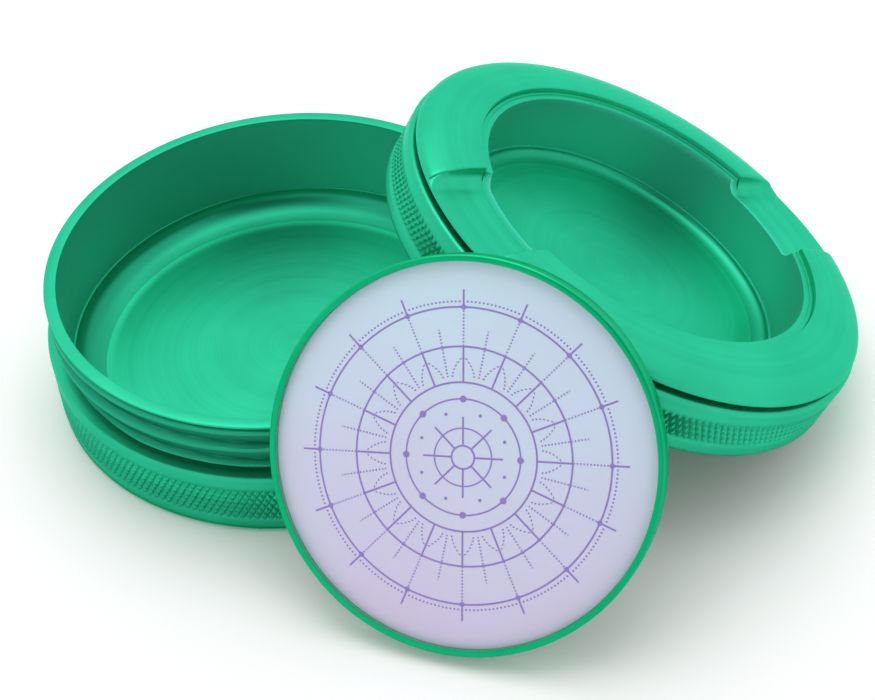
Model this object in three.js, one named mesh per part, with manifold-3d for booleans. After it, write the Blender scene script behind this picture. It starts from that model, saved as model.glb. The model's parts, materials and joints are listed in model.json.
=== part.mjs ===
// Round metal storage set: a screw-neck cup, a threaded tray section with an
// ash bowl and two rests, and a round lid with a printed face.
// The tray section stands on its edge against the cup and the lid leans in front.
// Units are millimetres and +Z is up. The origin is the centre of the cup's underside.
import * as THREE from 'three';
import { mergeVertices } from 'three/addons/utils/BufferGeometryUtils.js';
import Module from 'manifold-3d';

const wasm = await Module();
wasm.setup();

// --- driving dimensions ---

const SEGMENTS = 64;            // facets round every turned piece
const GAP = 0.3;                // space left between neighbouring pieces

const BODY_RADIUS = 49.5;       // knurled body of the cup and of the tray section

const CUP_HEIGHT = 27.1;
const SHOULDER_HEIGHT = 15.0;   // where the knurled body ends and the neck starts
const NECK_RADIUS = 48.0;       // rim and thread crests
const THREAD_ROOT_RADIUS = 47.0;
const CUP_BORE_RADIUS = 45.5;
const CUP_WALL_FOOT = 8.0;      // height where the bore ends in a small step
const CUP_STEP = 0.3;
const CUP_FLOOR_HEIGHT = 3.0;
const CUP_FLOOR_RADIUS = 38.2;
const THREAD_PITCH = 4.4;
const CUP_THREAD_TURNS = 1.85;
const CUP_THREAD_START = -65;   // degrees from +X where the ridge leaves the rim
const TRAY_THREAD_TURNS = 1.6;

const TRAY_HEIGHT = 16.8;
const SKIRT_HEIGHT = 11.7;      // top of the knurled skirt, below the groove
const SKIRT_BORE_RADIUS = 48.25;    // roots of the female thread
const SKIRT_ROUNDING = 1.1;
const SOCKET_DEPTH = 11.0;      // how far the cup's neck can enter the skirt
const GROOVE_RADIUS = 46.6;     // floor of the dark groove under the flange
const GASKET_THICKNESS = 0.8;
const GASKET_INNER_RADIUS = 44.6;
const FLANGE_RADIUS = 48.8;
const FLANGE_EDGE_HEIGHT = 12.9;    // underside of the flange's edge
const FLANGE_EDGE_THICKNESS = 0.2;
const FLANGE_FLAT_RADIUS = 37.4;    // the flange is flat inside this and domed outside
const OPENING_RADIUS = 36.8;
const BOWL_RADIUS = 36.5;       // outside of the bowl pressed into the tray body
const BOWL_UNDERSIDE = -4.0;
const BOWL_FLOOR_HEIGHT = 1.0;
const BOWL_FLOOR_RADIUS = 30.5;
const BOWL_WALL_FOOT = 3.2;
const LID_LEDGE_DEPTH = 0.9;    // the bowl's rim lies this far below the flange
const LID_LEDGE_RADIUS = 36.0;
const SEAL_LEDGE_DEPTH = 1.2;   // the lid and its seal rest on the next step
const WELL_RADIUS = 34.8;
const REST_WIDTH = 22.0;
const REST_CORNER = 2.6;
const REST_DEPTH = 3.65;
const REST_ANGLE = 21.5;        // degrees from the way the tray leans

const LID_RADIUS = 35.7;
const LID_THICKNESS = 4.3;
const LID_RIM_WIDTH = 1.1;
const LID_RECESS_DEPTH = 1.9;
const PRINT_THICKNESS = 0.3;
const COVER_EDGE_DEPTH = 0.15;  // the clear cover's edge lies this far below the rim
const COVER_CROWN = 0.5;        // rise of its face above its edge
const SEAL_INNER_RADIUS = 34.1;
const SEAL_OUTER_RADIUS = 35.0;
const SEAL_THICKNESS = 1.0;
const SEAL_PROUD = 0.3;         // how far the seal stands out of the lid's back

// --- where the loose sections stand ---

const TRAY_TILT = 28.9;         // degrees from level
const TRAY_AZIMUTH = -0.3;      // degrees from +X, the way the tray faces as it leans
const TRAY_FOOT = [106.3, -15.3];   // x and y of its lowest point, on the surface
const LID_ELEVATION = 35.4;     // degrees the lid's face looks up
const LID_AZIMUTH = -116.3;     // degrees from +X, the way its face looks
const LID_FOOT = [17.8, -81.6];     // x and y of its lowest point, on the surface

const radians = THREE.MathUtils.degToRad;

// --- materials ---

const anodised = new THREE.MeshStandardMaterial({ color: 0x21b585, roughness: 0.34, metalness: 0.9 });
const lidMetal = new THREE.MeshStandardMaterial({ color: 0x00aa6e, roughness: 0.38, metalness: 0.9 });
const sealRubber = new THREE.MeshStandardMaterial({ color: 0x20332c, roughness: 0.8, metalness: 0 });
const printedFace = new THREE.MeshStandardMaterial({ color: 0xc6cfe2, roughness: 0.6, metalness: 0 });
const clearGlass = new THREE.MeshStandardMaterial({
  color: 0xffffff, roughness: 0.05, metalness: 0, transparent: true, opacity: 0.25,
});

// --- shape helpers ---

// A round solid. The profile runs anticlockwise in the plane of radius and height.
function turned(profile) {
  const points = profile.map(([radius, height]) => new THREE.Vector2(radius, height));
  return new THREE.LatheGeometry(points, SEGMENTS).rotateX(Math.PI / 2);
}

// Points on a quarter of an ellipse between two places on a profile.
// It leaves the first along the axis and reaches the second square to it.
function cove([fromRadius, fromHeight], [toRadius, toHeight], steps) {
  const points = [];
  for (let i = 0; i <= steps; i += 1) {
    const angle = (i / steps) * Math.PI / 2;
    points.push([
      toRadius + (fromRadius - toRadius) * Math.cos(angle),
      fromHeight + (toHeight - fromHeight) * Math.sin(angle),
    ]);
  }
  return points;
}

// A helical ridge of trapezoid section, thinning to nothing at both ends.
// It is a straight bar that is wrapped down and round the axis.
function threadRidge({
  rootRadius, crestRadius, topHeight, rootWidth, crestWidth, turns, startAngle,
}) {
  const steps = 40;
  const depth = crestRadius - rootRadius;
  const section = new THREE.Shape();
  section.moveTo(0, -rootWidth / 2);
  section.lineTo(depth, -crestWidth / 2);
  section.lineTo(depth, crestWidth / 2);
  section.lineTo(0, rootWidth / 2);
  const ridge = new THREE.ExtrudeGeometry(section, { depth: 1, steps, bevelEnabled: false });
  const position = ridge.getAttribute('position');
  for (let i = 0; i < position.count; i += 1) {
    const along = position.getZ(i);
    const fade = Math.min(1, 0.15 + 12 * Math.min(along, 1 - along));
    const radius = rootRadius + position.getX(i) * fade;
    const angle = radians(startAngle) - along * turns * 2 * Math.PI;
    const height = topHeight - along * turns * THREAD_PITCH + position.getY(i);
    position.setXYZ(i, radius * Math.cos(angle), radius * Math.sin(angle), height);
  }
  return ridge;
}

// --- booleans ---

function toSolid(geometry) {
  const bare = geometry.index ? geometry.toNonIndexed() : geometry.clone();
  bare.deleteAttribute('normal');
  bare.deleteAttribute('uv');
  const merged = mergeVertices(bare, 1e-4);
  return new wasm.Manifold(new wasm.Mesh({
    numProp: 3,
    vertProperties: new Float32Array(merged.getAttribute('position').array),
    triVerts: new Uint32Array(merged.index.array),
  }));
}

function toGeometry(solid) {
  const mesh = solid.getMesh();
  const geometry = new THREE.BufferGeometry();
  geometry.setAttribute('position', new THREE.BufferAttribute(mesh.vertProperties, 3));
  geometry.setIndex(new THREE.BufferAttribute(mesh.triVerts, 1));
  geometry.computeVertexNormals();
  return geometry;
}

function piece(name, geometry, material) {
  const mesh = new THREE.Mesh(geometry, material);
  mesh.name = name;
  return mesh;
}

// --- the cup ---

function storageCup() {
  const edge = 0.8;
  const relief = 1.8;
  const body = turned([
    [0, 0],
    [BODY_RADIUS - edge, 0],
    [BODY_RADIUS, edge],
    [BODY_RADIUS, SHOULDER_HEIGHT - 0.4],
    [BODY_RADIUS - 0.4, SHOULDER_HEIGHT],
    [THREAD_ROOT_RADIUS - 0.2, SHOULDER_HEIGHT],
    [THREAD_ROOT_RADIUS - 0.2, SHOULDER_HEIGHT + relief],
    [THREAD_ROOT_RADIUS, SHOULDER_HEIGHT + relief],
    [THREAD_ROOT_RADIUS, CUP_HEIGHT - 1.6],
    [NECK_RADIUS, CUP_HEIGHT - 0.9],
    [NECK_RADIUS, CUP_HEIGHT],
    [CUP_BORE_RADIUS, CUP_HEIGHT],
    [CUP_BORE_RADIUS, CUP_WALL_FOOT],
    ...cove([CUP_BORE_RADIUS - CUP_STEP, CUP_WALL_FOOT], [CUP_FLOOR_RADIUS, CUP_FLOOR_HEIGHT], 4),
    [0, CUP_FLOOR_HEIGHT],
  ]);
  const ridge = threadRidge({
    rootRadius: THREAD_ROOT_RADIUS - 0.5,
    crestRadius: NECK_RADIUS,
    topHeight: CUP_HEIGHT - 1.25,
    rootWidth: 2.2,
    crestWidth: 0.8,
    turns: CUP_THREAD_TURNS,
    startAngle: CUP_THREAD_START,
  });
  return piece('storage_cup', toGeometry(toSolid(body).add(toSolid(ridge))), anodised);
}

// --- the tray section, with the skirt's lower edge at z = 0 ---

// A cutter for one rest: a flat-bottomed trough with rounded corners along +X,
// turned to its angle round the tray.
function restCutter(angle) {
  const half = REST_WIDTH / 2;
  const height = 8;
  const length = 24;
  const trough = new THREE.Shape();
  trough.moveTo(-half, height);
  trough.lineTo(-half, REST_CORNER);
  trough.absarc(-half + REST_CORNER, REST_CORNER, REST_CORNER, Math.PI, 1.5 * Math.PI, false);
  trough.absarc(half - REST_CORNER, REST_CORNER, REST_CORNER, 1.5 * Math.PI, 2 * Math.PI, false);
  trough.lineTo(half, height);
  const cutter = new THREE.ExtrudeGeometry(trough, {
    depth: length, steps: 1, curveSegments: 4, bevelEnabled: false,
  });
  cutter.rotateX(Math.PI / 2).rotateZ(Math.PI / 2);
  cutter.translate(BOWL_FLOOR_RADIUS, 0, TRAY_HEIGHT - REST_DEPTH);
  return cutter.rotateZ(radians(angle));
}

// A round tray piece with both rests cut through it.
function withRests(geometry) {
  let solid = toSolid(geometry);
  for (const angle of [REST_ANGLE, REST_ANGLE + 180]) {
    solid = solid.subtract(toSolid(restCutter(angle)));
  }
  return solid;
}

// Knurled skirt with the female thread, groove and domed flange, in one piece.
function trayBody() {
  const edge = 0.8;
  const domeFoot = FLANGE_EDGE_HEIGHT + FLANGE_EDGE_THICKNESS;
  const body = turned([
    [SKIRT_BORE_RADIUS, 0],
    [BODY_RADIUS - edge, 0],
    [BODY_RADIUS, edge],
    [BODY_RADIUS, SKIRT_HEIGHT - SKIRT_ROUNDING],
    [BODY_RADIUS - 0.3 * SKIRT_ROUNDING, SKIRT_HEIGHT - 0.3 * SKIRT_ROUNDING],
    [BODY_RADIUS - SKIRT_ROUNDING, SKIRT_HEIGHT],
    [GROOVE_RADIUS, SKIRT_HEIGHT],
    [GROOVE_RADIUS, FLANGE_EDGE_HEIGHT],
    [FLANGE_RADIUS, FLANGE_EDGE_HEIGHT],
    ...cove([FLANGE_RADIUS, domeFoot], [FLANGE_FLAT_RADIUS, TRAY_HEIGHT], 5),
    [OPENING_RADIUS, TRAY_HEIGHT],
    [OPENING_RADIUS, SOCKET_DEPTH],
    [SKIRT_BORE_RADIUS, SOCKET_DEPTH],
    [SKIRT_BORE_RADIUS, 0],
  ]);
  const ridge = threadRidge({
    rootRadius: SKIRT_BORE_RADIUS + 0.5,
    crestRadius: THREAD_ROOT_RADIUS + 0.4,
    topHeight: SOCKET_DEPTH - 2.6,
    rootWidth: 2.0,
    crestWidth: 0.7,
    turns: TRAY_THREAD_TURNS,
    startAngle: 0,
  });
  return piece('tray_body', toGeometry(withRests(body).add(toSolid(ridge))), anodised);
}

// The soft ring at the top of the socket, which the cup's rim presses on.
function trayGasket() {
  const top = SOCKET_DEPTH - GAP;
  const bottom = top - GASKET_THICKNESS;
  const outer = SKIRT_BORE_RADIUS - GAP;
  return piece('tray_gasket', turned([
    [GASKET_INNER_RADIUS, bottom],
    [outer, bottom],
    [outer, top],
    [GASKET_INNER_RADIUS, top],
    [GASKET_INNER_RADIUS, bottom],
  ]), sealRubber);
}

// The ash bowl, pressed into the tray body from above.
function trayBowl() {
  const corner = 0.6;
  const body = turned([
    [0, BOWL_UNDERSIDE],
    [BOWL_RADIUS - corner, BOWL_UNDERSIDE],
    [BOWL_RADIUS, BOWL_UNDERSIDE + corner],
    [BOWL_RADIUS, TRAY_HEIGHT - LID_LEDGE_DEPTH],
    [LID_LEDGE_RADIUS, TRAY_HEIGHT - LID_LEDGE_DEPTH],
    [LID_LEDGE_RADIUS, TRAY_HEIGHT - SEAL_LEDGE_DEPTH],
    [WELL_RADIUS, TRAY_HEIGHT - SEAL_LEDGE_DEPTH],
    [WELL_RADIUS, BOWL_WALL_FOOT],
    ...cove([WELL_RADIUS - CUP_STEP, BOWL_WALL_FOOT], [BOWL_FLOOR_RADIUS, BOWL_FLOOR_HEIGHT], 4),
    [0, BOWL_FLOOR_HEIGHT],
  ]);
  return piece('tray_bowl', toGeometry(withRests(body)), anodised);
}

// --- the lid, with the plane of its rim at z = 0 and its back below ---

function lidPlate() {
  const recess = LID_RADIUS - LID_RIM_WIDTH;
  const edge = 0.4;
  return piece('lid_plate', turned([
    [0, -LID_THICKNESS],
    [SEAL_INNER_RADIUS - GAP, -LID_THICKNESS],
    [SEAL_INNER_RADIUS - GAP, -LID_THICKNESS + SEAL_THICKNESS],
    [SEAL_OUTER_RADIUS + GAP, -LID_THICKNESS + SEAL_THICKNESS],
    [SEAL_OUTER_RADIUS + GAP, -LID_THICKNESS],
    [LID_RADIUS, -LID_THICKNESS],
    [LID_RADIUS, -edge],
    [LID_RADIUS - edge, 0],
    [recess, 0],
    [recess, -LID_RECESS_DEPTH],
    [0, -LID_RECESS_DEPTH],
  ]), lidMetal);
}

function lidPrint() {
  const radius = LID_RADIUS - LID_RIM_WIDTH - GAP;
  const bottom = -LID_RECESS_DEPTH + GAP;
  return piece('lid_print', turned([
    [0, bottom],
    [radius, bottom],
    [radius, bottom + PRINT_THICKNESS],
    [0, bottom + PRINT_THICKNESS],
  ]), printedFace);
}

function lidCover() {
  const radius = LID_RADIUS - LID_RIM_WIDTH - GAP;
  const bottom = -LID_RECESS_DEPTH + 2 * GAP + PRINT_THICKNESS;
  const face = [];
  const steps = 3;
  for (let i = 0; i <= steps; i += 1) {
    const share = i / steps;
    const height = -COVER_EDGE_DEPTH + COVER_CROWN * (1 - (1 - share) ** 4);
    face.push([radius * (1 - share), height]);
  }
  return piece('lid_cover', turned([[0, bottom], [radius, bottom], ...face]), clearGlass);
}

function lidSeal() {
  const bottom = -LID_THICKNESS - SEAL_PROUD;
  const top = bottom + SEAL_THICKNESS;
  return piece('lid_seal_ring', turned([
    [SEAL_INNER_RADIUS, bottom],
    [SEAL_OUTER_RADIUS, bottom],
    [SEAL_OUTER_RADIUS, top],
    [SEAL_INNER_RADIUS, top],
    [SEAL_INNER_RADIUS, bottom],
  ]), sealRubber);
}

// --- the set as it stands ---

const set = new THREE.Group();
set.add(storageCup());

// The tray's frame: +Z out of the bowl, +X down the slope.
const tray = new THREE.Group();
tray.add(trayBody(), trayGasket(), trayBowl());
tray.rotation.set(0, radians(TRAY_TILT), radians(TRAY_AZIMUTH), 'ZYX');
const trayFootRadius = BODY_RADIUS - 0.8;
const trayFoot = new THREE.Vector3(trayFootRadius, 0, 0).applyEuler(tray.rotation);
tray.position.set(TRAY_FOOT[0] - trayFoot.x, TRAY_FOOT[1] - trayFoot.y, -trayFoot.z);
set.add(tray);

// The lid's frame: +Z out of its face, +X down towards its foot.
const lid = new THREE.Group();
lid.add(lidPlate(), lidPrint(), lidCover(), lidSeal());
lid.rotation.set(0, radians(90 - LID_ELEVATION), radians(LID_AZIMUTH), 'ZYX');
const lidFoot = new THREE.Vector3(LID_RADIUS, 0, -LID_THICKNESS).applyEuler(lid.rotation);
lid.position.set(LID_FOOT[0] - lidFoot.x, LID_FOOT[1] - lidFoot.y, -lidFoot.z);
set.add(lid);

export default set;
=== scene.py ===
"""A threaded storage cup, its ash tray section and a printed lid, standing as a set."""

import json
import math

import bpy
import numpy as np
from mathutils import Matrix, Vector


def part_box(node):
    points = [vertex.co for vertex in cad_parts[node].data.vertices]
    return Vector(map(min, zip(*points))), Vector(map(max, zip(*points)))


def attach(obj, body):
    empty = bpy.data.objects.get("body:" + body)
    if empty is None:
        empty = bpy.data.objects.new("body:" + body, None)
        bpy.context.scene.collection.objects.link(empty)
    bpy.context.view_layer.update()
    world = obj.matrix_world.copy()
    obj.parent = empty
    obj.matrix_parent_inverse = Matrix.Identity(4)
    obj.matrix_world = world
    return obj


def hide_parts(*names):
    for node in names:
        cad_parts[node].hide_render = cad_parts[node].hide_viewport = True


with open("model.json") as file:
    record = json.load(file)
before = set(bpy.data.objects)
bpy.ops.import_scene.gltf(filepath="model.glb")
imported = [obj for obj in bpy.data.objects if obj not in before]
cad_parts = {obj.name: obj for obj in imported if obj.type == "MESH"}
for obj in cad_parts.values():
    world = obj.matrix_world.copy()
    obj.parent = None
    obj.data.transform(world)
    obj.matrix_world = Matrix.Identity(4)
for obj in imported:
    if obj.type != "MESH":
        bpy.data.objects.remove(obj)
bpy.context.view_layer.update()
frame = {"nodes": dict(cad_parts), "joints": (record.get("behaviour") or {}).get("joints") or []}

MM = 0.001
joints = {joint["name"]: joint for joint in frame["joints"]}

# --- sizes in millimetres, in each section's own frame ---

BODY_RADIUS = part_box("storage_cup")[1][0] / MM
CUP_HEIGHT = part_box("storage_cup")[1][2] / MM

SKIN = 0.02                 # how far a visible wall stays inside the CAD's
FOOT_EDGE = 0.8             # rounding at the foot of a body
TEETH = 218                 # knurl teeth round a body
TOOTH_COLUMNS = 6           # columns of the mesh for one tooth
KNURL_DEPTH = 0.36
KNURL_SLOPE = 2.8           # above 2 the teeth have flat tops
KNURL_MARGIN = 0.3          # plain height between a knurl and the next ring
KNURL_ANGLE = 30            # degrees that a knurl groove leans from upright
PLAIN = 2 * TEETH           # columns of the mesh where there is no knurl
KNURLED = TOOTH_COLUMNS * TEETH
CREASE = 28                 # degrees between faces from which an edge is sharp

SHOULDER_HEIGHT = 15.0
CUP_KNURL_FOOT = 3.1
CUP_KNURL_ROWS = 21
NECK_RADIUS = 47.95
THREAD_ROOT_RADIUS = 46.8
RELIEF_RADIUS = 46.4
RELIEF_HEIGHT = 1.8
THREAD_PITCH = 4.4
THREAD_TURNS = 2.45
THREAD_START = 0.4          # depth below the rim where the ridge begins
THREAD_CREST = 1.0          # width of the ridge's top
THREAD_BASE = 2.3           # width of the ridge's foot
THREAD_ROW = 0.12           # height of one row of the neck's mesh
LIP_HEIGHT = 0.55
CUP_BORE_RADIUS = 45.5
CUP_WALL_FOOT = 8.0
CUP_STEP = 0.35
CUP_FLOOR_HEIGHT = 3.0
CUP_FLOOR_RADIUS = 38.2

TRAY_HEIGHT = 16.8
SKIRT_HEIGHT = 11.7
SKIRT_BORE_RADIUS = 48.25
SKIRT_KNURL_FOOT = 2.9
SKIRT_KNURL_ROWS = 14
FEMALE_CREST_RADIUS = 47.4
FEMALE_START = 2.6          # depth below the socket's top where the female ridge begins
FEMALE_TURNS = 1.6
FEMALE_CREST = 0.8
FEMALE_BASE = 2.0
FEMALE_ROWS = 64
SOCKET_DEPTH = 11.0
GROOVE_RADIUS = 46.6
FLANGE_RADIUS = 48.68
FLANGE_EDGE_HEIGHT = 12.9
FLANGE_FLAT_RADIUS = 37.4
OPENING_RADIUS = 36.8
BOWL_RADIUS = 36.76
BOWL_UNDERSIDE = -4.0
BOWL_FLOOR_HEIGHT = 1.0
BOWL_FLOOR_RADIUS = 30.5
BOWL_WALL_FOOT = 3.2
LID_LEDGE_DEPTH = 0.9
LID_LEDGE_RADIUS = 36.0
SEAL_LEDGE_DEPTH = 1.2
WELL_RADIUS = 34.8
REST_WIDTH = 22.0
REST_CORNER = 2.6
REST_EDGE = 0.4             # rounding along the top of a rest's walls
REST_WALL = 0.02            # how far a rest's walls lean back
REST_DEPTH = 3.65
REST_ANGLE = 21.5
GASKET_TOP = 10.7
GASKET_THICKNESS = 0.8
GASKET_INNER_RADIUS = 44.6
GASKET_OUTER_RADIUS = 47.9

LID_RADIUS = 35.6
LID_THICKNESS = 4.3
LID_RIM_WIDTH = 1.2
LID_RECESS_DEPTH = 1.9
PRINT_TOP = -1.3
PRINT_BOTTOM = -1.65
COVER_BOTTOM = -1.0
COVER_EDGE_DEPTH = 0.15
COVER_CROWN = 0.5
RIM_CHAMFER = 0.3
PRINT_GAP = 0.02            # between the printed disc and the lid's rim
SEAL_INNER_RADIUS = 34.1
SEAL_OUTER_RADIUS = 35.0
SEAL_BOTTOM = -4.6
SEAL_THICKNESS = 1.0

# --- where the sections stand, from the frame ---


def standing(origin, axis):
    """The place of a section: Z along its axis and X down its slope."""
    down = (axis * axis.z - Vector((0, 0, 1))).normalized()
    side = axis.cross(down)
    turn = Matrix((down, side, axis)).transposed().to_4x4()
    return Matrix.Translation(origin) @ turn


def place_on_top(node, axis):
    """The place of a round section that has this node's top face at its Z = 0."""
    turn = standing(Vector(), axis).to_3x3()
    points = np.array([vertex.co for vertex in frame["nodes"][node].data.vertices])
    local = points @ np.array(turn)
    low, high = local.min(axis=0), local.max(axis=0)
    centre = Vector(((low[0] + high[0]) / 2, (low[1] + high[1]) / 2, high[2]))
    return standing(turn @ centre, axis)


tray_axis = Vector(joints["tray_turn"]["axis"])
CUP_PLACE = Matrix.Identity(4)
TRAY_PLACE = standing(Vector(joints["tray_turn"]["pos_m"]), tray_axis)
LID_PLACE = place_on_top("lid_plate", Vector(joints["lid_lift"]["axis"]))

# --- rings of points, and the closed skins that run through them ---


def even_angles(count):
    return np.arange(count) * 2 * math.pi / count


def ring(radius, height, angles):
    """Points round the axis. The radius and the height may differ from point to point."""
    if np.ndim(radius) == 0 and radius == 0:
        return np.array([[0.0, 0.0, float(np.min(height))]])
    points = np.empty((len(angles), 3))
    points[:, 0] = radius * np.cos(angles)
    points[:, 1] = radius * np.sin(angles)
    points[:, 2] = height
    return points


def rings_of(outline):
    """Plain rings at each (radius, height) of an outline."""
    return [ring(radius, height, even_angles(PLAIN)) for radius, height in outline]


def rounded(corners, steps=3):
    """The outline of (radius, height, rounding) corners, with an arc at each rounding."""
    outline = []
    for i, (radius, height, rounding) in enumerate(corners):
        corner = np.array([radius, height])
        if rounding == 0:
            outline.append(corner)
            continue
        before = np.array(corners[i - 1][:2]) - corner
        after = np.array(corners[(i + 1) % len(corners)][:2]) - corner
        start = corner + before * min(0.45, rounding / np.linalg.norm(before))
        end = corner + after * min(0.45, rounding / np.linalg.norm(after))
        for step in range(steps + 1):
            share = step / steps
            ends = (1 - share) ** 2 * start + share**2 * end
            outline.append(ends + 2 * share * (1 - share) * corner)
    return [(float(radius), float(height)) for radius, height in outline]


def cove(start, end, steps, reach=1.0):
    """Part of a quarter ellipse that leaves its start along the axis."""
    outline = []
    last = reach * math.pi / 2
    for step in range(steps + 1):
        angle = last * step / steps
        across = (1 - math.cos(angle)) / (1 - math.cos(last))
        along = math.sin(angle) / math.sin(last)
        radius = start[0] + (end[0] - start[0]) * across
        height = start[1] + (end[1] - start[1]) * along
        outline.append((radius, height))
    return outline


def knurl_rings(radius, foot, rows):
    """Rings of a diamond knurl whose grooves run along the mesh's diagonals."""
    column = 2 * math.pi * radius / KNURLED
    rise = column / math.tan(math.radians(KNURL_ANGLE))
    columns = np.arange(KNURLED)
    rings = []
    for row in range(rows + 1):
        leans = []
        for shifted in (columns + row, columns - row):
            leans.append(np.abs((shifted / TOOTH_COLUMNS + 0.5) % 1 - 0.5))
        height_share = np.minimum(1, KNURL_SLOPE * np.minimum(*leans))
        fade = min(1.0, row / 2, (rows - row) / 2)
        depth = KNURL_DEPTH * fade * (1 - height_share)
        rings.append(ring(radius - depth, foot + row * rise, even_angles(KNURLED)))
    return rings


def band(a, b, count_a, count_b):
    """Faces between two rings that start at vertices a and b."""
    faces = []
    if count_a == 1:
        return [(a, b + (i + 1) % count_b, b + i) for i in range(count_b)]
    if count_b == 1:
        return [(a + i, a + (i + 1) % count_a, b) for i in range(count_a)]
    shared = min(count_a, count_b)
    split_a, split_b = count_a // shared, count_b // shared
    for i in range(shared):
        lower = [a + (i * split_a + k) % count_a for k in range(split_a + 1)]
        upper = [b + (i * split_b + k) % count_b for k in range(split_b + 1)]
        faces.append(tuple(lower + upper[::-1]))
    return faces


def knurl_band(a, b, row):
    """Triangles between two knurl rings, split along the groove that crosses each square."""
    faces = []
    for i in range(KNURLED):
        j = (i + 1) % KNURLED
        if (i + 1 + row) % TOOTH_COLUMNS == 0:
            faces += [(a + i, a + j, b + i), (a + j, b + j, b + i)]
        else:
            faces += [(a + i, a + j, b + j), (a + i, b + j, b + i)]
    return faces


def skin(name, rings, place, body, nodes, material, looped=False, knurl=(0, 0)):
    """A closed piece through the rings. knurl says which rings are knurl rings."""
    starts = np.cumsum([0] + [len(points) for points in rings])
    faces = []
    pairs = [(i, i + 1) for i in range(len(rings) - 1)]
    if looped:
        pairs.append((len(rings) - 1, 0))
    for i, j in pairs:
        if knurl[0] <= i < knurl[1] - 1:
            faces += knurl_band(int(starts[i]), int(starts[j]), i - knurl[0])
        else:
            faces += band(int(starts[i]), int(starts[j]), len(rings[i]), len(rings[j]))
    mesh = bpy.data.meshes.new(name)
    mesh.from_pydata((np.concatenate(rings) * MM).tolist(), [], faces)
    mesh.transform(place)
    mesh.validate()
    mesh.shade_smooth()
    mesh.set_sharp_from_angle(angle=math.radians(CREASE))
    mesh.materials.append(material)
    piece = bpy.data.objects.new(name, mesh)
    bpy.context.scene.collection.objects.link(piece)
    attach(piece, body)
    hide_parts(*nodes)
    return piece


# --- materials ---


class Nodes:
    """A short way to lay out a material's nodes."""

    def __init__(self, name):
        self.material = bpy.data.materials.new(name)
        self.material.use_nodes = True
        self.tree = self.material.node_tree
        self.shader = self.tree.nodes["Principled BSDF"]

    def add(self, kind, inputs=(), **settings):
        node = self.tree.nodes.new(kind)
        for key, value in settings.items():
            setattr(node, key, value)
        for socket, value in dict(inputs).items():
            self.feed(node, socket, value)
        return node

    def feed(self, node, socket, value):
        if isinstance(value, bpy.types.NodeSocket):
            self.tree.links.new(value, node.inputs[socket])
        else:
            node.inputs[socket].default_value = value

    def math(self, operation, *values):
        node = self.add("ShaderNodeMath", dict(enumerate(values)), operation=operation)
        return node.outputs[0]

    def scaled(self, value, low, high, to_low, to_high):
        """The value moved from one span to another, and held inside it."""
        span = {"From Min": low, "From Max": high, "To Min": to_low, "To Max": to_high}
        return self.add("ShaderNodeMapRange", {"Value": value, **span}).outputs["Result"]

    def noise(self, where, scale, detail):
        inputs = {"Vector": where, "Scale": scale, "Detail": detail}
        return self.add("ShaderNodeTexNoise", inputs).outputs["Fac"]

    def bumped(self, height, strength, distance):
        """Relief on the shader, for a height and a distance in millimetres."""
        inputs = {"Height": height, "Strength": strength, "Distance": distance * MM}
        self.feed(self.shader, "Normal", self.add("ShaderNodeBump", inputs).outputs[0])

    def mixed(self, share, one, other):
        node = self.add("ShaderNodeMix", data_type="RGBA")
        self.feed(node, 0, share)
        self.feed(node, 6, one)
        self.feed(node, 7, other)
        return node.outputs[2]

    def local(self, place):
        """x, y, z and distance from the axis in a section's own frame, in millimetres."""
        where = self.add("ShaderNodeTexCoord").outputs["Object"]
        inputs = {
            "Vector": where,
            "Location": place.to_translation(),
            "Rotation": place.to_euler(),
            "Scale": (MM, MM, MM),
        }
        mapping = self.add("ShaderNodeMapping", inputs, vector_type="TEXTURE")
        parts = self.add("ShaderNodeSeparateXYZ", {0: mapping.outputs[0]})
        x, y, z = parts.outputs
        squares = self.math("ADD", self.math("MULTIPLY", x, x), self.math("MULTIPLY", y, y))
        return x, y, z, self.math("SQRT", squares)

    def round_tangent(self, place):
        """The direction round a section's axis, which turning marks follow."""
        where = self.add("ShaderNodeTexCoord").outputs["Object"]
        out = self.add(
            "ShaderNodeVectorMath", {0: where, 1: place.to_translation()}, operation="SUBTRACT"
        )
        axis = place.to_3x3().col[2]
        along = self.add(
            "ShaderNodeVectorMath", {0: axis, 1: out.outputs[0]}, operation="CROSS_PRODUCT"
        )
        turned = self.add(
            "ShaderNodeVectorTransform",
            {0: along.outputs[0]},
            vector_type="VECTOR",
            convert_from="OBJECT",
            convert_to="WORLD",
        )
        return turned.outputs[0]


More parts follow.
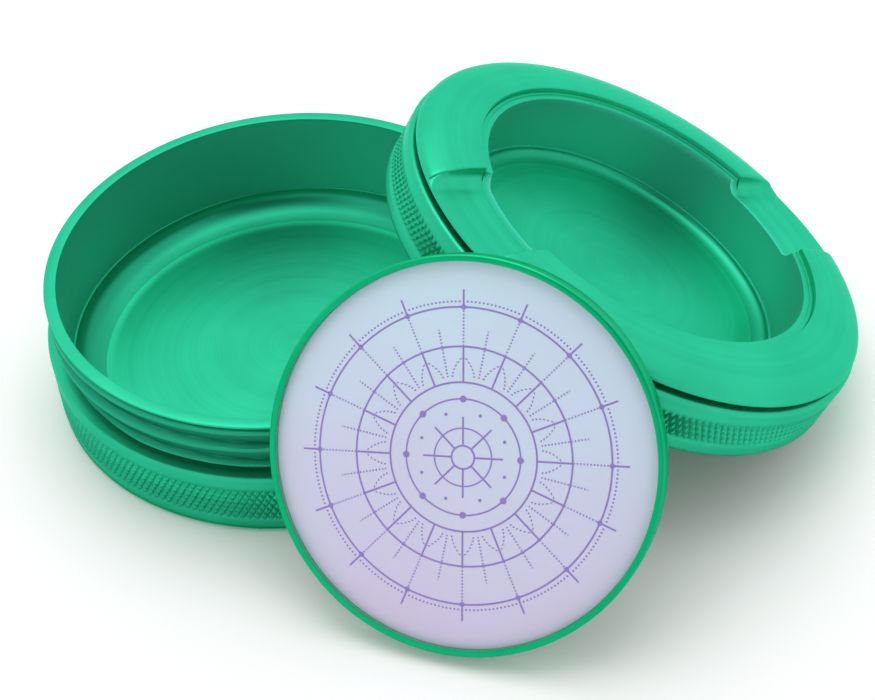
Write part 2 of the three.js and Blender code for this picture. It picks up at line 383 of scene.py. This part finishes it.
def anodised(name, colour, roughness, place, painted_shades=()):
    """Satin anodised aluminium with turning marks and fine grain.

    The listed bands paint shade into the colour over spans of height: a darker green in the roots
    of knurls, threads and grooves and on the coves, and a paler tint on the deep walls. Each has
    the radius of its full painted shade, the radius where the plain colour is back, how strong it
    is, and its colour.
    """
    nodes = Nodes(name)
    x, y, z, radius = nodes.local(place)
    height = nodes.math("MULTIPLY", z, 1.3)
    turned = nodes.add("ShaderNodeCombineXYZ", {0: radius, 1: height}).outputs[0]
    marks = nodes.noise(turned, 5.0, 4.0)
    broad = nodes.noise(turned, 0.45, 2.0)
    whole = nodes.add("ShaderNodeCombineXYZ", {0: x, 1: y, 2: z}).outputs[0]
    grain = nodes.noise(whole, 5.5, 2.0)
    cloud = nodes.noise(whole, 0.06, 3.0)

    tone = nodes.math("ADD", marks, broad)
    tone = nodes.math("ADD", tone, nodes.math("MULTIPLY", cloud, 1.5))
    deep = [channel * 0.86 for channel in colour] + [1]
    light = [min(1.0, channel * 1.1 + 0.004) for channel in colour] + [1]
    base = nodes.mixed(nodes.scaled(tone, 1.2, 2.3, 0.0, 1.0), deep, light)
    # painted shade: each band mixes its colour in by height and by distance from the axis
    for foot, top, root, crest, most, shade in painted_shades:
        share = nodes.scaled(radius, root, crest, most, 0.0)
        for bound, operation in ((foot, "GREATER_THAN"), (top, "LESS_THAN")):
            share = nodes.math("MULTIPLY", share, nodes.math(operation, z, bound))
        outside = nodes.math("GREATER_THAN", radius, root - 0.6)
        base = nodes.mixed(nodes.math("MULTIPLY", share, outside), base, [*shade, 1])
    nodes.feed(nodes.shader, "Base Color", base)

    rough = nodes.math("ADD", marks, grain)
    rough = nodes.scaled(rough, 0.7, 1.3, roughness - 0.06, roughness + 0.07)
    nodes.feed(nodes.shader, "Roughness", rough)

    relief = nodes.math("ADD", marks, nodes.math("MULTIPLY", grain, 0.7))
    nodes.bumped(relief, 0.16, 0.02)
    nodes.shader.inputs["Metallic"].default_value = 0.78
    nodes.shader.inputs["Anisotropic"].default_value = 0.2
    nodes.shader.inputs["Specular IOR Level"].default_value = 0.3
    nodes.shader.inputs["Specular Tint"].default_value = (0.3, 0.95, 0.75, 1)
    nodes.feed(nodes.shader, "Tangent", nodes.round_tangent(place))
    return nodes.material


def rubber(name, colour, place):
    """Matt silicone rubber with a faint mould grain and dust."""
    nodes = Nodes(name)
    x, y, z, _ = nodes.local(place)
    whole = nodes.add("ShaderNodeCombineXYZ", {0: x, 1: y, 2: z}).outputs[0]
    grain = nodes.noise(whole, 3.0, 5.0)
    dust = nodes.noise(whole, 0.2, 4.0)
    dusty = [channel + 0.05 for channel in colour] + [1]
    base = nodes.mixed(nodes.scaled(dust, 0.45, 0.75, 0.0, 0.6), [*colour, 1], dusty)
    nodes.feed(nodes.shader, "Base Color", base)
    nodes.feed(nodes.shader, "Roughness", nodes.scaled(grain, 0.3, 0.7, 0.62, 0.8))
    nodes.bumped(grain, 0.3, 0.05)
    return nodes.material


def printed(name, radius_of_face, turn, place):
    """Pale blue to lilac print with rings, dots and rays in violet line."""
    nodes = Nodes(name)
    x, y, _, radius = nodes.local(place)
    reach = nodes.math("DIVIDE", radius, radius_of_face)
    angle = nodes.math("ADD", nodes.math("ARCTAN2", y, x), math.radians(turn))
    line = 0.0042

    def near(value, target, width):
        """1 where the value lies within the width of the target."""
        gap = nodes.math("ABSOLUTE", nodes.math("SUBTRACT", value, target))
        return nodes.scaled(gap, width, width * 1.45, 1.0, 0.0)

    def between(low, high):
        inside = nodes.math("GREATER_THAN", reach, low)
        return nodes.math("MULTIPLY", inside, nodes.math("LESS_THAN", reach, high))

    def sector(count, shift=0.0):
        """Distance, in face radii, from the nearest of some evenly spaced rays."""
        step = 2 * math.pi / count
        share = nodes.math("ADD", nodes.math("DIVIDE", angle, step), 64 + shift)
        off = nodes.math("SUBTRACT", nodes.math("FRACT", nodes.math("ADD", share, 0.5)), 0.5)
        return both(nodes.math("ABSOLUTE", off), both(reach, step))

    def both(one, other):
        return nodes.math("MULTIPLY", one, other)

    def dashes(count):
        """On and off along the radius."""
        phase = nodes.math("FRACT", nodes.math("MULTIPLY", reach, count))
        return nodes.math("LESS_THAN", phase, 0.5)

    def dot(count, at, size, shift=0.0):
        across = sector(count, shift)
        along = nodes.math("SUBTRACT", reach, at)
        squares = nodes.math("ADD", both(across, across), both(along, along))
        return nodes.scaled(nodes.math("SQRT", squares), size, size * 1.25, 1.0, 0.0)

    rays = 16
    dashed = dashes(58)
    ray = near(sector(rays), 0, line)
    half_ray = near(sector(rays, 0.5), 0, line)
    petal_share = nodes.scaled(reach, 0.405, 0.52, 0.0, 1.0)
    taper = nodes.math("MULTIPLY", both(petal_share, petal_share), 0.058)
    petal_width = nodes.math("SUBTRACT", 0.058, taper)
    art = [
        near(reach, 0.385, line),
        near(reach, 0.567, line),
        near(reach, 0.767, line),
        both(near(reach, 0.795, line), nodes.math("LESS_THAN", sector(240), 0.005)),
        dot(rays, 0.767, 0.0125),
        both(ray, between(0.767, 0.856)),
        both(ray, both(between(0.567, 0.767), dashed)),
        both(ray, between(0.385, 0.567)),
        both(half_ray, both(between(0.415, 0.66), dashed)),
        both(near(sector(rays), petal_width, line), both(between(0.405, 0.52), dashed)),
        near(reach, 0.30, line * 0.9),
        dot(8, 0.30, 0.016),
        dot(8, 0.235, 0.008, 0.5),
        both(near(sector(8), 0, line), between(0.06, 0.21)),
        near(reach, 0.06, line),
        near(reach, 0.15, line * 0.8),
    ]
    ink = art[0]
    for stroke in art[1:]:
        ink = nodes.math("MAXIMUM", ink, stroke)

    whole = nodes.add("ShaderNodeCombineXYZ", {0: x, 1: y}).outputs[0]
    cloud = nodes.noise(whole, 0.035, 1.0)
    climb = nodes.math("ADD", nodes.math("DIVIDE", x, radius_of_face), cloud)
    blend = nodes.scaled(climb, -0.4, 1.4, 0.0, 1.0)
    face = nodes.mixed(blend, (0.56, 0.75, 0.88, 1), (0.64, 0.55, 0.78, 1))
    # painted shade: the face darkens slightly towards its rim
    face = nodes.mixed(nodes.scaled(reach, 0.92, 1.0, 0.0, 0.15), face, (0.42, 0.46, 0.54, 1))
    fibre = nodes.noise(whole, 9.0, 2.0)
    inked = nodes.mixed(nodes.math("MULTIPLY", ink, 0.95), face, (0.19, 0.075, 0.50, 1))
    nodes.feed(nodes.shader, "Base Color", inked)
    nodes.feed(nodes.shader, "Roughness", nodes.scaled(fibre, 0.3, 0.7, 0.35, 0.5))
    nodes.bumped(ink, 0.1, 0.02)
    return nodes.material


def clear(name, place):
    """Clear polished cover with the faintest haze."""
    nodes = Nodes(name)
    x, y, _, _ = nodes.local(place)
    whole = nodes.add("ShaderNodeCombineXYZ", {0: x, 1: y}).outputs[0]
    haze = nodes.noise(whole, 0.08, 5.0)
    nodes.feed(nodes.shader, "Roughness", nodes.scaled(haze, 0.35, 0.7, 0.04, 0.13))
    nodes.feed(nodes.shader, "Alpha", nodes.scaled(haze, 0.3, 0.7, 0.05, 0.07))
    nodes.shader.inputs["Base Color"].default_value = (0.9, 0.93, 0.97, 1)
    nodes.shader.inputs["IOR"].default_value = 1.5
    nodes.shader.inputs["Coat Weight"].default_value = 1.0
    nodes.shader.inputs["Coat Roughness"].default_value = 0.04
    return nodes.material


GREEN = (0.023, 0.51, 0.285)
PAINTED_SHADE_GREEN = (0.011, 0.22, 0.125)      # painted shade, for the roots of knurls, threads and grooves and for the coves
PAINTED_WALL_TINT = (0.085, 0.60, 0.47)       # painted tint, paler and bluer, for the deep walls as they look in shade
LID_GREEN = (0.002, 0.44, 0.18)
RUBBER = (0.02, 0.035, 0.03)
PRINT_TURN = -7.6                # degrees that the print is turned on the lid
# Bands of painted shade (heights, radii, strength, colour): darker green in the knurl roots, the
# thread roots, the tray's groove and the coves, and the painted wall tint on the deep walls
knurl_roots = (BODY_RADIUS - KNURL_DEPTH - SKIN, BODY_RADIUS - 0.12)
cup_painted_shades = [
    (CUP_KNURL_FOOT, SHOULDER_HEIGHT - 0.5, *knurl_roots, 0.25, PAINTED_SHADE_GREEN),
    (SHOULDER_HEIGHT + 0.1, CUP_HEIGHT - 0.3, THREAD_ROOT_RADIUS, NECK_RADIUS + 1.0, 1.0, PAINTED_SHADE_GREEN),
    (CUP_WALL_FOOT, CUP_HEIGHT - 0.3, CUP_BORE_RADIUS, CUP_BORE_RADIUS + 0.6, 1.0, PAINTED_WALL_TINT),
    (CUP_FLOOR_HEIGHT + 0.3, CUP_WALL_FOOT, CUP_BORE_RADIUS - 6, CUP_BORE_RADIUS + 12, 0.55, PAINTED_SHADE_GREEN),
]
tray_painted_shades = [
    (SKIRT_KNURL_FOOT, SKIRT_HEIGHT - 1.5, *knurl_roots, 0.25, PAINTED_SHADE_GREEN),
    (SKIRT_HEIGHT, FLANGE_EDGE_HEIGHT, GROOVE_RADIUS, BODY_RADIUS - 1, 1.0, PAINTED_SHADE_GREEN),
    (BOWL_WALL_FOOT, TRAY_HEIGHT - 1.3, WELL_RADIUS, WELL_RADIUS + 1, 1.0, PAINTED_WALL_TINT),
    (BOWL_FLOOR_HEIGHT + 0.1, BOWL_WALL_FOOT, WELL_RADIUS - 4, WELL_RADIUS + 4, 0.5, PAINTED_SHADE_GREEN),
]
cup_metal = anodised("anodised_cup", GREEN, 0.36, CUP_PLACE, cup_painted_shades)
tray_metal = anodised("anodised_tray", GREEN, 0.36, TRAY_PLACE, tray_painted_shades)
lid_metal = anodised("anodised_lid", LID_GREEN, 0.34, LID_PLACE)
tray_rubber = rubber("tray_rubber", RUBBER, TRAY_PLACE)
lid_rubber = rubber("lid_rubber", RUBBER, LID_PLACE)
print_radius = LID_RADIUS - LID_RIM_WIDTH - PRINT_GAP
printed_face = printed("printed_face", print_radius, PRINT_TURN, LID_PLACE)
clear_cover = clear("clear_cover", LID_PLACE)

# --- the cup ---


def thread_rise(angles, depth, turns, crest, base):
    """Share of the ridge's height, from 0 to 1, round a ring this far below the ridge's start."""
    rise = np.zeros(len(angles))
    first_turn = (-angles / (2 * math.pi)) % 1
    for turn in range(math.ceil(turns)):
        along = first_turn + turn
        offset = np.abs(depth - THREAD_PITCH * along)
        shape = np.clip((base / 2 - offset) / ((base - crest) / 2), 0, 1)
        fade = np.clip(12 * np.minimum(along + 0.05, turns - along), 0, 1)
        rise = np.maximum(rise, shape * fade)
    return rise


def storage_cup():
    body = BODY_RADIUS - SKIN
    foot = rounded([(0, 0, 0), (BODY_RADIUS - FOOT_EDGE, 0, 0.3), (body, FOOT_EDGE, 0.4)])
    rings = rings_of([(0, 0), (20, 0), (40, 0)] + foot[1:])
    rings += rings_of([(body, CUP_KNURL_FOOT - KNURL_MARGIN)])
    knurl_start = len(rings)
    rings += knurl_rings(body, CUP_KNURL_FOOT, CUP_KNURL_ROWS)
    knurl_end = len(rings)
    knurl_top = rings[-1][0, 2]
    shoulder = rounded(
        [
            (body, knurl_top, 0),
            (body, SHOULDER_HEIGHT, 0.35),
            (RELIEF_RADIUS, SHOULDER_HEIGHT, 0.25),
            (RELIEF_RADIUS, SHOULDER_HEIGHT + RELIEF_HEIGHT, 0),
        ]
    )
    rings += rings_of([(body, knurl_top + KNURL_MARGIN)] + shoulder[1:])

    angles = even_angles(PLAIN)
    lip_foot = CUP_HEIGHT - LIP_HEIGHT
    thread_foot = SHOULDER_HEIGHT + RELIEF_HEIGHT
    rows = round((lip_foot - thread_foot) / THREAD_ROW)
    for row in range(rows + 1):
        height = thread_foot + (lip_foot - thread_foot) * row / rows
        depth = CUP_HEIGHT - THREAD_START - height
        rise = thread_rise(angles, depth, THREAD_TURNS, THREAD_CREST, THREAD_BASE)
        radius = THREAD_ROOT_RADIUS + (NECK_RADIUS - THREAD_ROOT_RADIUS) * rise
        rings.append(ring(radius, height + 0.001, angles))
    rim = rounded(
        [
            (NECK_RADIUS - 0.25, lip_foot, 0),
            (NECK_RADIUS, lip_foot + 0.12, 0.08),
            (NECK_RADIUS, CUP_HEIGHT, 0.22),
            (CUP_BORE_RADIUS, CUP_HEIGHT, 0.15),
            (CUP_BORE_RADIUS, CUP_WALL_FOOT, 0.06),
            (CUP_BORE_RADIUS - CUP_STEP, CUP_WALL_FOOT, 0.08),
        ]
    )
    rings += rings_of(rim)
    cove_top = (CUP_BORE_RADIUS - CUP_STEP - 0.02, CUP_WALL_FOOT - 0.15)
    floor_edge = (CUP_FLOOR_RADIUS, CUP_FLOOR_HEIGHT)
    rings += rings_of(cove(cove_top, floor_edge, 14, 0.78))
    for share in (0.99, 0.8, 0.6, 0.4, 0.2, 0.05, 0):
        rings += rings_of([(CUP_FLOOR_RADIUS * share, CUP_FLOOR_HEIGHT - SKIN)])
    skin(
        "storage_cup_turned", rings, CUP_PLACE, "cup", ["storage_cup"],
        cup_metal, knurl=(knurl_start, knurl_end),
    )


# --- the tray section ---

REST_FLOOR = TRAY_HEIGHT - REST_DEPTH


def rest_columns():
    """How far each of the columns across one rest lies from the rest's middle."""
    half = REST_WIDTH / 2
    turn = math.pi / 2
    flat = list(np.linspace(0, half - REST_CORNER, 11))
    corner = [half - REST_CORNER + REST_CORNER * math.sin(a) for a in np.linspace(0, turn, 8)[1:]]
    edge = [half + REST_WALL + REST_EDGE * (1 - math.cos(a)) for a in np.linspace(0, turn, 5)]
    right = flat + corner + edge
    return np.array([-y for y in right[:0:-1]] + right)


ACROSS = rest_columns()


def rest_layout(radius, warp):
    """Angles of a ring's columns, and each column's distance from the middle of its rest.

    With warp 1 the columns follow a rest's straight walls, and with warp 0 they are even.
    """
    count = PLAIN // 2
    wall_angle = math.asin(ACROSS[-1] / radius)
    between = count - len(ACROSS)
    step = (math.pi - 2 * wall_angle) / (between + 1)
    plain = wall_angle + step * np.arange(1, between + 1)
    half_turn = np.concatenate([np.arcsin(ACROSS / radius), plain])
    even = (np.arange(count) - (len(ACROSS) - 1) / 2) * math.pi / count
    half_turn = warp * half_turn + (1 - warp) * even
    angles = np.concatenate([half_turn, half_turn + math.pi])
    apart = np.concatenate([np.abs(ACROSS), np.full(between, 1e3)])
    return angles + math.radians(REST_ANGLE), np.concatenate([apart, apart])


# the angle of the first column where the columns are even
EVEN_START = math.radians(REST_ANGLE) - (len(ACROSS) - 1) / 2 * math.pi / (PLAIN // 2)


def rest_height(apart, height):
    """Height of a ring's points where the rests cut down from the given height."""
    half = REST_WIDTH / 2
    into_corner = np.clip(apart - (half - REST_CORNER), 0, REST_CORNER)
    trough = REST_FLOOR + REST_CORNER - np.sqrt(REST_CORNER**2 - into_corner**2)
    trough = np.where(apart > half + 0.01, 1e3, trough)
    wall = max(0.0, height - REST_FLOOR)
    edge = min(REST_EDGE, 0.5 * wall)
    over = np.clip((apart - half - REST_WALL) / REST_EDGE, 0, 1)
    drop = edge * (1 - np.sqrt(1 - (1 - over) ** 2))
    return np.minimum(trough, height - drop)


def cut_ring(radius, height, warp=1.0):
    """A ring of the tray's top, cut down where a rest crosses it."""
    angles, apart = rest_layout(radius, warp)
    return ring(radius, rest_height(apart, height), angles)


def plain_ring(radius, height, warp=1.0):
    angles, _ = rest_layout(radius, warp)
    return ring(radius, height, angles)


def turned_to(rings, angle):
    """The rings turned round the axis, so that their columns meet those of other rings."""
    turn = np.array(Matrix.Rotation(angle, 3, "Z"))
    return [points @ turn.T for points in rings]


def tray_body():
    body = BODY_RADIUS - SKIN
    outside = rounded(
        [
            (SKIRT_BORE_RADIUS, 0, 0.12),
            (BODY_RADIUS - FOOT_EDGE, 0, 0.3),
            (body, FOOT_EDGE, 0.4),
            (body, SKIRT_KNURL_FOOT - KNURL_MARGIN, 0),
        ]
    )
    rings = rings_of(outside[1:])
    knurl_start = len(rings)
    rings += knurl_rings(body, SKIRT_KNURL_FOOT, SKIRT_KNURL_ROWS)
    knurl_end = len(rings)
    knurl_top = rings[-1][0, 2]
    rings += rings_of([(body, knurl_top + KNURL_MARGIN)])
    rings = turned_to(rings, EVEN_START)

    shoulder = rounded(
        [
            (body, knurl_top + KNURL_MARGIN, 0),
            (body, SKIRT_HEIGHT, 1.15),
            (GROOVE_RADIUS, SKIRT_HEIGHT, 0.1),
            (GROOVE_RADIUS, FLANGE_EDGE_HEIGHT, 0.1),
            (FLANGE_RADIUS, FLANGE_EDGE_HEIGHT, 0),
        ],
        steps=5,
    )[1:]
    for i, (radius, height) in enumerate(shoulder):
        rings.append(plain_ring(radius, height, i / (len(shoulder) - 1)))
    dome_foot = FLANGE_EDGE_HEIGHT + 0.2
    for radius, height in cove((FLANGE_RADIUS, dome_foot), (FLANGE_FLAT_RADIUS, TRAY_HEIGHT), 36):
        rings.append(cut_ring(radius, height))
    opening = [(37.15, 0), (36.97, 0.02), (36.86, 0.08), (OPENING_RADIUS, 0.2)]
    for radius, below in opening:
        rings.append(cut_ring(radius, TRAY_HEIGHT - below))
    top = rings[-1][:, 2]
    for share in (0.35, 0.7, 1.0):
        angles, _ = rest_layout(OPENING_RADIUS, 1.0 - share)
        rings.append(ring(OPENING_RADIUS, top + (SOCKET_DEPTH - top) * share, angles))

    angles = even_angles(PLAIN) + EVEN_START
    socket = [(42.0, SOCKET_DEPTH), (46.0, SOCKET_DEPTH), (SKIRT_BORE_RADIUS - 0.1, SOCKET_DEPTH)]
    rings += [ring(radius, height, angles) for radius, height in socket]
    for row in range(FEMALE_ROWS + 1):
        share = row / FEMALE_ROWS
        height = (SOCKET_DEPTH - 0.3) * (1 - share) + 0.2 * share
        depth = SOCKET_DEPTH - FEMALE_START - height
        rise = thread_rise(angles, depth, FEMALE_TURNS, FEMALE_CREST, FEMALE_BASE)
        radius = SKIRT_BORE_RADIUS - (SKIRT_BORE_RADIUS - FEMALE_CREST_RADIUS) * rise
        rings.append(ring(radius, height, angles))
    rings += turned_to(rings_of([(SKIRT_BORE_RADIUS + 0.05, 0.05)]), EVEN_START)
    skin(
        "tray_body_turned", rings, TRAY_PLACE, "tray", ["tray_body"],
        tray_metal, looped=True, knurl=(knurl_start, knurl_end),
    )


def tray_bowl():
    underside = rounded(
        [
            (0, BOWL_UNDERSIDE, 0),
            (BOWL_RADIUS - 0.6, BOWL_UNDERSIDE, 0.3),
            (BOWL_RADIUS, BOWL_UNDERSIDE + 0.6, 0.3),
        ]
    )
    rings = [ring(0, BOWL_UNDERSIDE, even_angles(PLAIN))]
    middle = [(12, BOWL_UNDERSIDE), (28, BOWL_UNDERSIDE)]
    side = [(BOWL_RADIUS, 2.0), (BOWL_RADIUS, 8.0)]
    rings += [plain_ring(radius, height) for radius, height in middle + underside[1:] + side]
    ledge = TRAY_HEIGHT - LID_LEDGE_DEPTH
    seat = TRAY_HEIGHT - SEAL_LEDGE_DEPTH
    rim = [
        (BOWL_RADIUS, ledge - 0.08),
        (BOWL_RADIUS - 0.05, ledge),
        (LID_LEDGE_RADIUS + 0.07, ledge),
        (LID_LEDGE_RADIUS, ledge - 0.06),
        (LID_LEDGE_RADIUS - 0.03, seat + 0.03),
        (LID_LEDGE_RADIUS - 0.06, seat),
        (WELL_RADIUS + 0.16, seat),
        (WELL_RADIUS + 0.05, seat - 0.04),
        (WELL_RADIUS, seat - 0.16),
    ]
    rings += [cut_ring(radius, height) for radius, height in rim]
    top = rings[-1][:, 2]
    angles, _ = rest_layout(WELL_RADIUS, 1.0)
    for share in (0.15, 0.4, 0.7, 1.0):
        rings.append(ring(WELL_RADIUS, top + (BOWL_WALL_FOOT - top) * share, angles))
    step = WELL_RADIUS - CUP_STEP
    rings += [plain_ring(step + 0.06, BOWL_WALL_FOOT), plain_ring(step, BOWL_WALL_FOOT - 0.05)]
    floor_edge = (BOWL_FLOOR_RADIUS, BOWL_FLOOR_HEIGHT)
    cove_top = (step - 0.01, BOWL_WALL_FOOT - 0.1)
    rings += [plain_ring(radius, height) for radius, height in cove(cove_top, floor_edge, 12)]
    for share in (0.9, 0.75, 0.6, 0.45):
        rings.append(plain_ring(BOWL_FLOOR_RADIUS * share, BOWL_FLOOR_HEIGHT))
    rings.append(ring(0, BOWL_FLOOR_HEIGHT, even_angles(PLAIN)))
    skin(
        "tray_bowl_turned", rings, TRAY_PLACE, "tray", ["tray_bowl"],
        tray_metal,
    )


def soft_ring(name, inner, outer, bottom, thickness, place, body, node, material):
    """A moulded seal: a flat ring with full round edges and a faint crown."""
    middle = (inner + outer) / 2
    half = (outer - inner) / 2
    outline = []
    steps = 28
    for step in range(steps):
        angle = step / steps * 2 * math.pi
        across = math.copysign(abs(math.cos(angle)) ** 0.45, math.cos(angle))
        up = math.copysign(abs(math.sin(angle)) ** 0.6, math.sin(angle))
        outline.append((middle + half * across, bottom + thickness / 2 * (1 + up)))
    skin(name, rings_of(outline), place, body, [node], material, looped=True)


# --- the lid ---


def lid_plate():
    recess = LID_RADIUS - LID_RIM_WIDTH
    back = -LID_THICKNESS
    groove_inner, groove_outer = SEAL_INNER_RADIUS - 0.15, SEAL_OUTER_RADIUS + 0.1
    groove_top = back + SEAL_THICKNESS - 0.3
    outline = rounded(
        [
            (0, back, 0),
            (12, back, 0),
            (24, back, 0),
            (groove_inner, back, 0.08),
            (groove_inner, groove_top, 0.1),
            (groove_outer, groove_top, 0.1),
            (groove_outer, back, 0.08),
            (LID_RADIUS, back, 0.35),
            (LID_RADIUS, -RIM_CHAMFER, 0.12),
            (LID_RADIUS - RIM_CHAMFER, 0, 0.12),
            (recess, 0, 0.04),
            (recess, -LID_RECESS_DEPTH, 0.1),
            (24, -LID_RECESS_DEPTH, 0),
            (12, -LID_RECESS_DEPTH, 0),
            (0, -LID_RECESS_DEPTH, 0),
        ]
    )
    skin(
        "lid_plate_turned", rings_of(outline), LID_PLACE, "lid", ["lid_plate"],
        lid_metal,
    )


def lid_print():
    outline = rounded(
        [
            (0, PRINT_BOTTOM, 0),
            (print_radius, PRINT_BOTTOM, 0.08),
            (print_radius, PRINT_TOP, 0.08),
            (print_radius * 0.5, PRINT_TOP, 0),
            (0, PRINT_TOP, 0),
        ]
    )
    skin(
        "lid_print_disc", rings_of(outline), LID_PLACE, "lid", ["lid_print"],
        printed_face,
    )


def lid_cover():
    outline = [(0, COVER_BOTTOM), (print_radius * 0.5, COVER_BOTTOM), (print_radius, COVER_BOTTOM)]
    steps = 24
    for step in range(steps + 1):
        share = (step / steps) ** 1.6
        crown = COVER_CROWN * (1 - (1 - share) ** 4)
        outline.append((print_radius * (1 - share), crown - COVER_EDGE_DEPTH))
    skin(
        "lid_cover_clear", rings_of(outline), LID_PLACE, "lid", ["lid_cover"],
        clear_cover,
    )


storage_cup()
tray_body()
tray_bowl()
soft_ring(
    "tray_gasket_moulded", GASKET_INNER_RADIUS, GASKET_OUTER_RADIUS,
    GASKET_TOP - GASKET_THICKNESS, GASKET_THICKNESS,
    TRAY_PLACE, "gasket", "tray_gasket", tray_rubber,
)
lid_plate()
lid_print()
lid_cover()
soft_ring(
    "lid_seal_moulded", SEAL_INNER_RADIUS, SEAL_OUTER_RADIUS,
    SEAL_BOTTOM, SEAL_THICKNESS,
    LID_PLACE, "lid", "lid_seal_ring", lid_rubber,
)

# --- floor, light and camera, in metres and watts ---

FLOOR_REACH = 3.0
FLAG_PLACE = (0, -0.37, 0.47)
FLAG_SIZE = (0.5, 0.45)
SOFTBOX_PLACE = (0.05, 0.25, 0.9)
SOFTBOX_AIM = (0.03, -0.02, 0.02)
SOFTBOX_SIZE = 0.7
SOFTBOX_POWER = 2.6
WORLD_STRENGTH = 1.07
SENSOR_WIDTH = 36           # millimetres, as is the lens
LENS = 74.06
CAMERA_PLACE = (0, -0.27755, 0.26112)
CAMERA_TURN = (46.271, 2.957, -8.950)       # degrees


def facing(place, aim):
    return (Vector(aim) - Vector(place)).to_track_quat("-Z", "Y")


def card(name, place, turn, size, grey, roughness):
    """A plain rectangle that belongs to the stage."""
    corners = [(-1, -1), (1, -1), (1, 1), (-1, 1)]
    points = []
    for x, y in corners:
        points.append(turn @ Vector((x * size[0] / 2, y * size[1] / 2, 0)) + Vector(place))
    mesh = bpy.data.meshes.new(name)
    mesh.from_pydata([tuple(point) for point in points], [], [(0, 1, 2, 3)])
    nodes = Nodes(name)
    nodes.shader.inputs["Base Color"].default_value = (*grey, 1)
    nodes.shader.inputs["Roughness"].default_value = roughness
    mesh.materials.append(nodes.material)
    plane = bpy.data.objects.new(name, mesh)
    bpy.context.scene.collection.objects.link(plane)
    return plane


def softbox(place, aim, size, power):
    light = bpy.data.lights.new("overhead", "AREA")
    light.shape = "SQUARE"
    light.size = size
    light.energy = power
    lamp = bpy.data.objects.new("overhead", light)
    lamp.location = place
    lamp.rotation_euler = facing(place, aim).to_euler()
    bpy.context.scene.collection.objects.link(lamp)


floor_size = (2 * FLOOR_REACH, 2 * FLOOR_REACH)
card("floor", (0, 0, 0), Matrix.Identity(3), floor_size, (0.97, 0.97, 0.97), 0.9)
# a dark card for the metal to mirror, which no camera sees directly
flag = card("flag", FLAG_PLACE, facing(FLAG_PLACE, (0, 0, 0)), FLAG_SIZE, (0.01, 0.02, 0.015), 1.0)
flag.visible_camera = False
softbox(SOFTBOX_PLACE, SOFTBOX_AIM, SOFTBOX_SIZE, SOFTBOX_POWER)

world = bpy.data.worlds.new("studio")
bpy.context.scene.world = world
world.use_nodes = True
background = world.node_tree.nodes["Background"]
background.inputs["Color"].default_value = (1, 1, 1, 1)
background.inputs["Strength"].default_value = WORLD_STRENGTH

bpy.context.scene.view_settings.view_transform = "Standard"

camera_data = bpy.data.cameras.new("camera")
camera_data.sensor_width = SENSOR_WIDTH
camera_data.lens = LENS
camera = bpy.data.objects.new("camera", camera_data)
camera.location = CAMERA_PLACE
camera.rotation_euler = [math.radians(angle) for angle in CAMERA_TURN]
bpy.context.scene.collection.objects.link(camera)
bpy.context.scene.camera = camera
